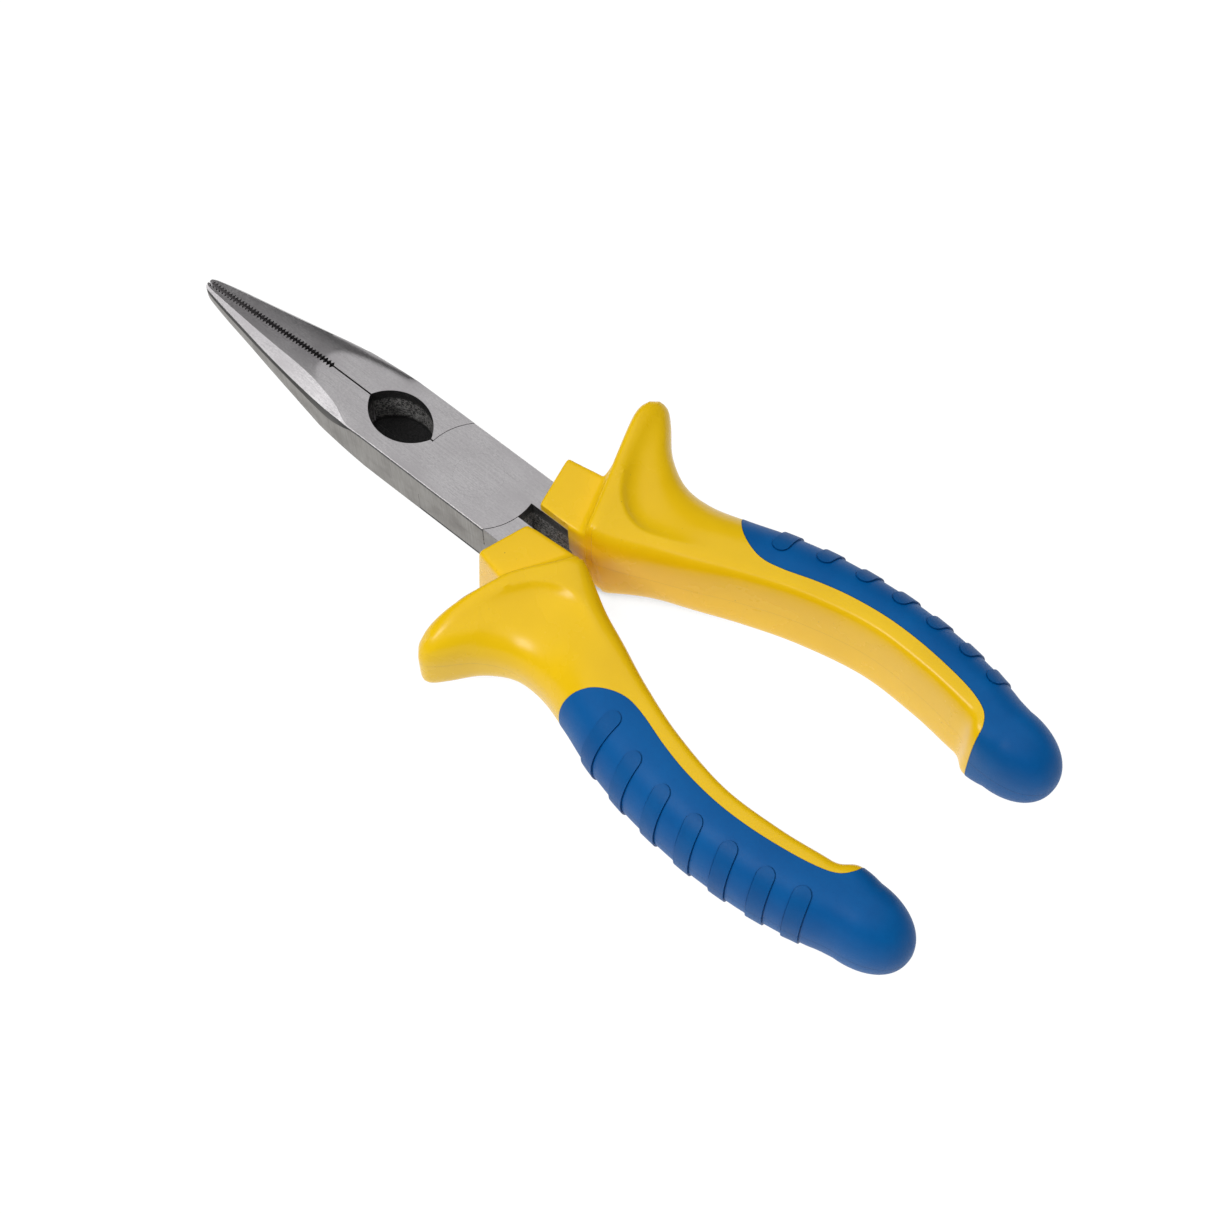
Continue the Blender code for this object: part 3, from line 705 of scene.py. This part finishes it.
def sleeve_zone(name, margin):
    """The space of the sleeve: its plan outline, with a nose that is round in side view."""
    edge = spline(SLEEVE_EDGE, 0.5)[::-1].tolist()
    outline = [(ZONE_REAR, ZONE_INNER)] + edge + [ZONE_OUTER, (ZONE_REAR, ZONE_OUTER[1])]
    plan = grown(outline[::-1] if is_clockwise(outline) else outline, margin)
    zone = prism(name, plan, -ZONE_HALF, ZONE_HALF)
    side = [(ZONE_REAR, -ZONE_HALF - 1), (NOSE_X - NOSE_BACK, -ZONE_HALF - 1)]
    for angle in np.linspace(-math.pi / 2, math.pi / 2, 48):
        side.append((NOSE_X - NOSE_BACK * (1 - math.cos(angle)), NOSE_HALF * math.sin(angle)))
    side += [(NOSE_X - NOSE_BACK, ZONE_HALF + 1), (ZONE_REAR, ZONE_HALF + 1)]
    profile = prism(name + "_side", side, -ZONE_HALF_WIDTH, ZONE_HALF_WIDTH)
    profile.rotation_euler.x = math.pi / 2
    profile.location = (margin * MM, ZONE_MIDDLE_Y * MM, 0.0)
    add_boolean(zone, profile, "INTERSECT")
    return zone


def is_clockwise(outline):
    points = np.array(outline)
    after = np.roll(points, -1, axis=0)
    return float(np.sum(points[:, 0] * after[:, 1] - after[:, 0] * points[:, 1])) < 0


def rib_outline(tip_x, tip_y, slant, margin):
    """Plan outline of a rib: round at the tip on the top face, straight out to the side."""
    lean = np.array([-slant, 1.0]) / math.hypot(slant, 1.0)
    side = np.array([lean[1], -lean[0]])
    centre = np.array([tip_x, tip_y]) + lean * RIB_WIDTH / 2
    half = RIB_WIDTH / 2 + margin
    far = centre + lean * RIB_RUN
    points = [far + side * half]
    for angle in np.linspace(0.0, math.pi, 15):
        points.append(centre + side * half * math.cos(angle) - lean * half * math.sin(angle))
    return points + [far - side * half]


def joined_tongues(name, margin):
    """The plan outlines of all the ribs as one tall tool."""
    tongues = [prism(name, rib_outline(*rib, margin), -ZONE_HALF, ZONE_HALF) for rib in RIBS]
    for other in tongues[1:]:
        add_boolean(tongues[0], other, "UNION")
    return tongues[0]


def make_sleeve(smooth, mottled):
    """Half B's sleeve, with the ribs in their own finish."""
    sleeve = grip_skin("sleeve_blank", -SLEEVE_PROUD, False)
    sleeve.data.materials.append(smooth)
    add_boolean(sleeve, sleeve_zone("sleeve_zone", 0.0), "INTERSECT")
    ribs = grip_skin("rib_skin", -RIB_RISE, False)
    ribs.data.materials.append(mottled)
    width, depth = RIB_GROOVE
    grooves = joined_tongues("groove", width)
    add_boolean(grooves, grip_skin("groove_floor", depth, False), "DIFFERENCE")
    add_boolean(sleeve, grooves, "DIFFERENCE")
    add_boolean(ribs, joined_tongues("tongue", 0.0), "INTERSECT")
    add_boolean(sleeve, ribs, "UNION")
    add_boolean(sleeve, grip_skin("sleeve_hollow", SLEEVE_WALL, False), "DIFFERENCE")
    return finish_shape(sleeve)


def make_core(material):
    """Half B's core, cut back for the sleeve and clear of the steel's bare inner side."""
    core = grip_skin("core_blank", 0.0, True)
    room = sleeve_zone("sleeve_room", SEAM)
    add_boolean(room, grip_skin("stem", SLEEVE_WALL + SEAM, False), "DIFFERENCE")
    add_boolean(core, room, "DIFFERENCE")
    bare_y = CROTCH_HALF + BARE_STEP
    bare_end = BARE_X + BARE_LENGTH
    bare = [(BARE_X, BARE_INNER), (bare_end, BARE_INNER), (bare_end, bare_y), (BARE_X, bare_y)]
    add_boolean(core, prism("bare_side", bare, -ZONE_HALF, ZONE_HALF), "DIFFERENCE")
    mesh = finish_shape(core)
    mesh.materials.clear()
    mesh.materials.append(material)
    return mesh


# ---------------------------------------------------------------- materials

class Shader:
    """A material's node tree, with short calls for the few nodes that the finishes are made of."""

    def __init__(self, name, colour, roughness, metallic):
        self.material = bpy.data.materials.new(name)
        self.material.use_nodes = True
        self.tree = self.material.node_tree
        self.surface = self.tree.nodes["Principled BSDF"]
        self.surface.inputs["Base Color"].default_value = (*colour, 1.0)
        self.surface.inputs["Roughness"].default_value = roughness
        self.surface.inputs["Metallic"].default_value = metallic
        self.place = self.add("ShaderNodeTexCoord").outputs["Object"]

    def add(self, kind, **settings):
        node = self.tree.nodes.new(kind)
        for name, value in settings.items():
            setattr(node, name, value)
        return node

    def link(self, source, target):
        self.tree.links.new(source, target)

    def noise(self, scale, stretch=(1.0, 1.0, 1.0), detail=4.0, roughness=0.55):
        """Noise in object space, with scale in features per metre."""
        mapping = self.add("ShaderNodeMapping")
        mapping.inputs["Scale"].default_value = stretch
        self.link(self.place, mapping.inputs["Vector"])
        noise = self.add("ShaderNodeTexNoise")
        noise.inputs["Scale"].default_value = scale
        noise.inputs["Detail"].default_value = detail
        noise.inputs["Roughness"].default_value = roughness
        self.link(mapping.outputs["Vector"], noise.inputs["Vector"])
        return noise.outputs["Fac"]

    def spread(self, value, low, high, to_low=0.0, to_high=1.0):
        """Stretches the range low to high of a value to the range to_low to to_high."""
        node = self.add("ShaderNodeMapRange")
        node.inputs["From Min"].default_value = low
        node.inputs["From Max"].default_value = high
        node.inputs["To Min"].default_value = to_low
        node.inputs["To Max"].default_value = to_high
        self.link(value, node.inputs["Value"])
        return node.outputs["Result"]

    def math(self, operation, first, second=None):
        node = self.add("ShaderNodeMath", operation=operation)
        self.link(first, node.inputs[0])
        if isinstance(second, float):
            node.inputs[1].default_value = second
        elif second is not None:
            self.link(second, node.inputs[1])
        return node.outputs["Value"]

    def mix(self, factor, first, second):
        node = self.add("ShaderNodeMix", data_type="RGBA")
        self.link(factor, node.inputs["Factor"])
        for value, socket in ((first, node.inputs[6]), (second, node.inputs[7])):
            if isinstance(value, tuple):
                socket.default_value = (*value, 1.0)
            else:
                self.link(value, socket)
        return node.outputs[2]

    def bump(self, height, distance, strength=1.0, under=None):
        node = self.add("ShaderNodeBump")
        node.inputs["Strength"].default_value = strength
        node.inputs["Distance"].default_value = distance
        self.link(height, node.inputs["Height"])
        if under is not None:
            self.link(under, node.inputs["Normal"])
        return node.outputs["Normal"]

    def finish(self, colour=None, roughness=None, normal=None):
        for value, name in ((colour, "Base Color"), (roughness, "Roughness"), (normal, "Normal")):
            if value is not None:
                self.link(value, self.surface.inputs[name])
        return self.material


# Ground steel's darker and lighter lines, its bright grains and its clouds
GROUND_TONES = ((0.32, 0.309, 0.317), (0.44, 0.428, 0.438), (0.49, 0.475, 0.482), (0.36, 0.345, 0.355))


def ground_steel(name, level=1.0, metallic=1.0):
    """Ground steel, brushed along the tool, with a fine grain, short scratches and cloudy patches; a
    level above one makes it a painted highlight.
    """
    shader = Shader(name, (0.36 * level, 0.35 * level, 0.355 * level), 0.36, metallic)
    lines = shader.noise(2600.0, (0.05, 1.0, 1.0), detail=6.0)
    grain = shader.noise(5200.0, (0.35, 1.0, 1.0), detail=4.0, roughness=0.7)
    clouds = shader.noise(160.0, (0.5, 1.0, 1.0))
    shade = shader.spread(lines, 0.3, 0.7)
    low, high, glint, cloud = (tuple(channel * level for channel in tone) for tone in GROUND_TONES)
    colour = shader.mix(shade, low, high)
    colour = shader.mix(shader.spread(grain, 0.45, 0.62), colour, glint)
    colour = shader.mix(shader.spread(clouds, 0.4, 0.75), colour, cloud)
    rough = shader.spread(grain, 0.3, 0.7, 0.30, 0.42)
    normal = shader.bump(lines, 0.00002, 0.6)
    normal = shader.bump(grain, 0.00001, 0.6, under=normal)
    return shader.finish(colour, rough, normal)


def side_steel(name):
    """The side faces, ground across the tool's thickness: duller, and darker than the ground top, partly
    their own finish and partly painted shade.
    """
    shader = Shader(name, (0.27, 0.26, 0.245), 0.5, 1.0)
    lines = shader.noise(2600.0, (1.0, 1.0, 0.06), detail=5.0)
    clouds = shader.noise(220.0)
    colour = shader.mix(shader.spread(lines, 0.3, 0.7), (0.23, 0.22, 0.205), (0.31, 0.30, 0.285))
    colour = shader.mix(shader.spread(clouds, 0.45, 0.75), colour, (0.22, 0.21, 0.20))
    rough = shader.spread(clouds, 0.3, 0.7, 0.42, 0.55)
    normal = shader.bump(lines, 0.00002, 0.6)
    return shader.finish(colour, rough, normal)


def hollow_painted_shade(name):
    """The hollow grind under the jaws' bevel, in painted shade: dark right under the edge, paler lower
    down.
    """
    shader = Shader(name, (0.1, 0.1, 0.1), 0.45, 1.0)
    parts = shader.add("ShaderNodeSeparateXYZ")
    shader.link(shader.place, parts.inputs["Vector"])
    edge = shader.spread(parts.outputs["X"], (HINGE.x + FLAT_END * MM), TIP_X * MM,
                         (JOINT_HALF - HOLLOW_TOP) * MM, JAW_END_HALF * MM)
    level = shader.math("SUBTRACT", parts.outputs["Z"], HINGE.z)
    level = shader.math("ABSOLUTE", level)
    below = shader.math("SUBTRACT", edge, level)
    lines = shader.noise(2600.0, (0.08, 1.0, 1.0), detail=5.0)
    fade = shader.spread(below, 0.0001, HOLLOW_FADE * MM)
    pale = shader.mix(shader.spread(lines, 0.3, 0.7), (0.15, 0.146, 0.14), (0.21, 0.205, 0.20))
    # Painted shade: near black right under the bevel's edge, fading to the paler steel lower down.
    colour = shader.mix(fade, (0.025, 0.025, 0.025), pale)
    rough = shader.spread(lines, 0.3, 0.7, 0.38, 0.5)
    normal = shader.bump(lines, 0.00002, 0.6)
    return shader.finish(colour, rough, normal)


def black_scale(name):
    """Forging scale: smooth black near the faces, rough with grey grains at mid height."""
    shader = Shader(name, (0.03, 0.03, 0.03), 0.55, 0.4)
    parts = shader.add("ShaderNodeSeparateXYZ")
    shader.link(shader.place, parts.inputs["Vector"])
    level = shader.math("ABSOLUTE", shader.math("SUBTRACT", parts.outputs["Z"], HINGE.z))
    grains = shader.noise(2600.0, detail=6.0, roughness=0.75)
    patches = shader.noise(500.0)
    middle = shader.spread(level, SCALE_SMOOTH * MM, (SCALE_SMOOTH - 0.6) * MM)
    speckle = shader.math("MULTIPLY", shader.spread(grains, 0.46, 0.58), middle)
    colour = shader.mix(shader.spread(grains, 0.4, 0.7), (0.012, 0.012, 0.013), (0.05, 0.049, 0.048))
    colour = shader.mix(speckle, colour, (0.42, 0.41, 0.40))
    rough = shader.spread(patches, 0.3, 0.7, 0.4, 0.65)
    normal = shader.bump(grains, 0.0004, 0.9)
    return shader.finish(colour, rough, normal)


def mould_line(shader, width):
    """One at the joint of the two mould halves, at mid height, and nought elsewhere."""
    parts = shader.add("ShaderNodeSeparateXYZ")
    shader.link(shader.place, parts.inputs["Vector"])
    wander = shader.spread(shader.noise(260.0), 0.0, 1.0, -width, width)
    level = shader.math("SUBTRACT", parts.outputs["Z"], HINGE.z)
    level = shader.math("ABSOLUTE", shader.math("ADD", level, wander))
    return shader.spread(level, width, width / 2)


def yellow_plastic(name):
    """Smooth hard yellow moulding, slightly cloudy, with a very fine unevenness and a mould line."""
    shader = Shader(name, (0.86, 0.54, 0.003), 0.26, 0.0)
    shader.surface.inputs["Specular IOR Level"].default_value = 0.28
    clouds = shader.noise(90.0)
    fine = shader.noise(900.0, detail=3.0)
    specks = shader.noise(1500.0, detail=2.0)
    line = mould_line(shader, 0.00006)
    colour = shader.mix(shader.spread(clouds, 0.3, 0.7), (0.85, 0.525, 0.002), (0.90, 0.57, 0.004))
    colour = shader.mix(shader.spread(specks, 0.76, 0.79), colour, (0.35, 0.2, 0.01))
    colour = shader.mix(shader.math("MULTIPLY", line, 0.5), colour, (0.45, 0.27, 0.01))
    rough = shader.spread(clouds, 0.3, 0.7, 0.23, 0.30)
    normal = shader.bump(fine, 0.00002, 0.5)
    normal = shader.bump(line, 0.00004, 0.6, under=normal)
    return shader.finish(colour, rough, normal)


def blue_rubber(name, shade):
    """Satin blue soft moulding with a fine grain and a mould line; the ribs are a shade darker."""
    shader = Shader(name, (0.0, 0.098, 0.33), 0.45, 0.0)
    shader.surface.inputs["Specular IOR Level"].default_value = 0.13
    clouds = shader.noise(120.0)
    grain = shader.noise(3800.0, detail=4.0, roughness=0.6)
    mottle = shader.noise(1500.0, detail=5.0, roughness=0.7)
    line = mould_line(shader, 0.00007)
    low, high = (0.0, 0.088 * shade, 0.305 * shade), (0.0, 0.108 * shade, 0.352 * shade)
    colour = shader.mix(shader.spread(clouds, 0.3, 0.7), low, high)
    colour = shader.mix(shader.spread(mottle, 0.50, 0.68, 0.0, 2.6 - 2.4 * shade), colour,
                        (0.0, 0.075, 0.26))
    colour = shader.mix(line, colour, (0.0, 0.045, 0.16))
    rough = shader.spread(grain, 0.3, 0.7, 0.38, 0.52)
    normal = shader.bump(grain, 0.00003, 0.6)
    normal = shader.bump(mottle, 0.00006 * (1.5 - shade), 0.6, under=normal)
    normal = shader.bump(line, 0.00006, 0.8, under=normal)
    return shader.finish(colour, rough, normal)


# ---------------------------------------------------------------- pieces

def place(name, mesh, body, turned_over, node):
    """Half B's mesh, or a copy turned over for half A, put on the hinge and tied to its body."""
    mesh = mesh.copy()
    mesh.name = name
    turn = Matrix.Rotation(math.pi, 4, "X") if turned_over else Matrix.Identity(4)
    mesh.transform(Matrix.Translation(HINGE) @ turn)
    item = add_mesh(name, mesh)
    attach(item, body)
    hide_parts(node)
    return item


def build_pliers():
    ground = ground_steel("ground_steel")
    # The bevel's brighter, less metallic ground steel is a painted highlight; the hollow finish is
    # painted shade.
    finishes = (ground, hollow_painted_shade("hollow_painted_shade"), side_steel("side_steel"),
                ground_steel("bevel_painted_highlight", 1.9, 0.35), black_scale("black_scale"))
    steel = {"a": make_steel(finishes, -1), "b": make_steel(finishes, 1)}
    core = make_core(yellow_plastic("yellow_plastic"))
    sleeve = make_sleeve(blue_rubber("blue_rubber", 1.0), blue_rubber("blue_rib", 0.88))
    rivet = turned("rivet_blank", rivet_profile(0.0, 0.0), RIVET_STEPS)
    rivet.data.materials.append(ground)
    rivet_mesh = finish_shape(rivet)
    remove_scratch()
    for letter, turned_over in (("a", True), ("b", False)):
        body = "half_" + letter
        place("steel_" + letter, steel[letter], body, turned_over, "forging_" + letter)
        place("core_" + letter, core, body, turned_over, "grip_core_" + letter)
        place("sleeve_" + letter, sleeve, body, turned_over, "grip_sleeve_" + letter)
    place("rivet", rivet_mesh, "half_b", False, "joint_rivet")


# ---------------------------------------------------------------- stage

def make_floor():
    """A pale floor with a glow of its own, which fades close beside the tool and under it: a painted
    shadow worked out from how hidden the floor is.
    """
    mesh = bpy.data.meshes.new("floor")
    corners = [(x * FLOOR_HALF, y * FLOOR_HALF, 0) for x, y in ((-1, -1), (1, -1), (1, 1), (-1, 1))]
    mesh.from_pydata(corners, [], [(0, 1, 2, 3)])
    floor = add_mesh("floor", mesh)
    floor.location.z = FLOOR_Z
    shader = Shader("pale_floor", (0.06, 0.06, 0.06), 0.9, 0.0)
    shader.surface.inputs["Specular IOR Level"].default_value = 0.0
    shader.surface.inputs["Emission Color"].default_value = (1.0, 1.0, 1.0, 1.0)
    shade = shader.add("ShaderNodeAmbientOcclusion", samples=12)
    shade.inputs["Distance"].default_value = FLOOR_REACH
    dimmest = FLOOR_DIMMEST * FLOOR_GLOW
    # Painted shadow: the glow is dimmed where the tool hides the floor.
    glow = shader.spread(shade.outputs["AO"], *FLOOR_OPENNESS, dimmest, FLOOR_GLOW)
    shader.link(glow, shader.surface.inputs["Emission Strength"])
    mesh.materials.append(shader.material)


def area_light(name, size, power, azimuth, elevation, distance):
    """A soft box that faces the pliers from a direction, with azimuth measured as for the camera."""
    a, e = math.radians(azimuth), math.radians(elevation)
    away = Vector((math.sin(a) * math.cos(e), -math.cos(a) * math.cos(e), math.sin(e)))
    data = bpy.data.lights.new(name, "AREA")
    data.shape = "RECTANGLE"
    data.size, data.size_y = size
    data.energy = power
    light = bpy.data.objects.new(name, data)
    bpy.context.scene.collection.objects.link(light)
    light.location = away * distance
    light.rotation_mode = "QUATERNION"
    light.rotation_quaternion = away.to_track_quat("Z", "Y")


def make_world(level):
    world = bpy.data.worlds.new("studio")
    world.use_nodes = True
    world.node_tree.nodes["Background"].inputs["Color"].default_value = (1.0, 1.0, 1.0, 1.0)
    world.node_tree.nodes["Background"].inputs["Strength"].default_value = level
    bpy.context.scene.world = world


def make_camera():
    """The camera looks at a point near the middle of the tool, turned a little about its own axis."""
    azimuth, elevation = math.radians(CAMERA_AZIMUTH), math.radians(CAMERA_ELEVATION)
    roll = math.radians(CAMERA_ROLL)
    distance, side, rise = CAMERA_PLACE
    back = Vector((math.sin(azimuth) * math.cos(elevation), -math.cos(azimuth) * math.cos(elevation),
                   math.sin(elevation)))
    level = (-back).cross(Vector((0, 0, 1))).normalized()
    upright = level.cross(-back)
    right = level * math.cos(roll) + upright * math.sin(roll)
    up = upright * math.cos(roll) - level * math.sin(roll)
    data = bpy.data.cameras.new("camera")
    data.sensor_width = 36.0
    data.lens = CAMERA_LENS
    data.clip_start = 0.01
    camera = bpy.data.objects.new("camera", data)
    bpy.context.scene.collection.objects.link(camera)
    spot = HINGE + (back * distance - right * side - up * rise) * MM
    turn = Matrix((right, up, back)).transposed()
    camera.matrix_world = Matrix.Translation(spot) @ turn.to_4x4()
    bpy.context.scene.camera = camera


build_pliers()
make_floor()
make_world(WORLD_LEVEL)
for light_settings in LIGHTS:
    area_light(*light_settings)
make_camera()
bpy.context.scene.view_settings.view_transform = "Standard"
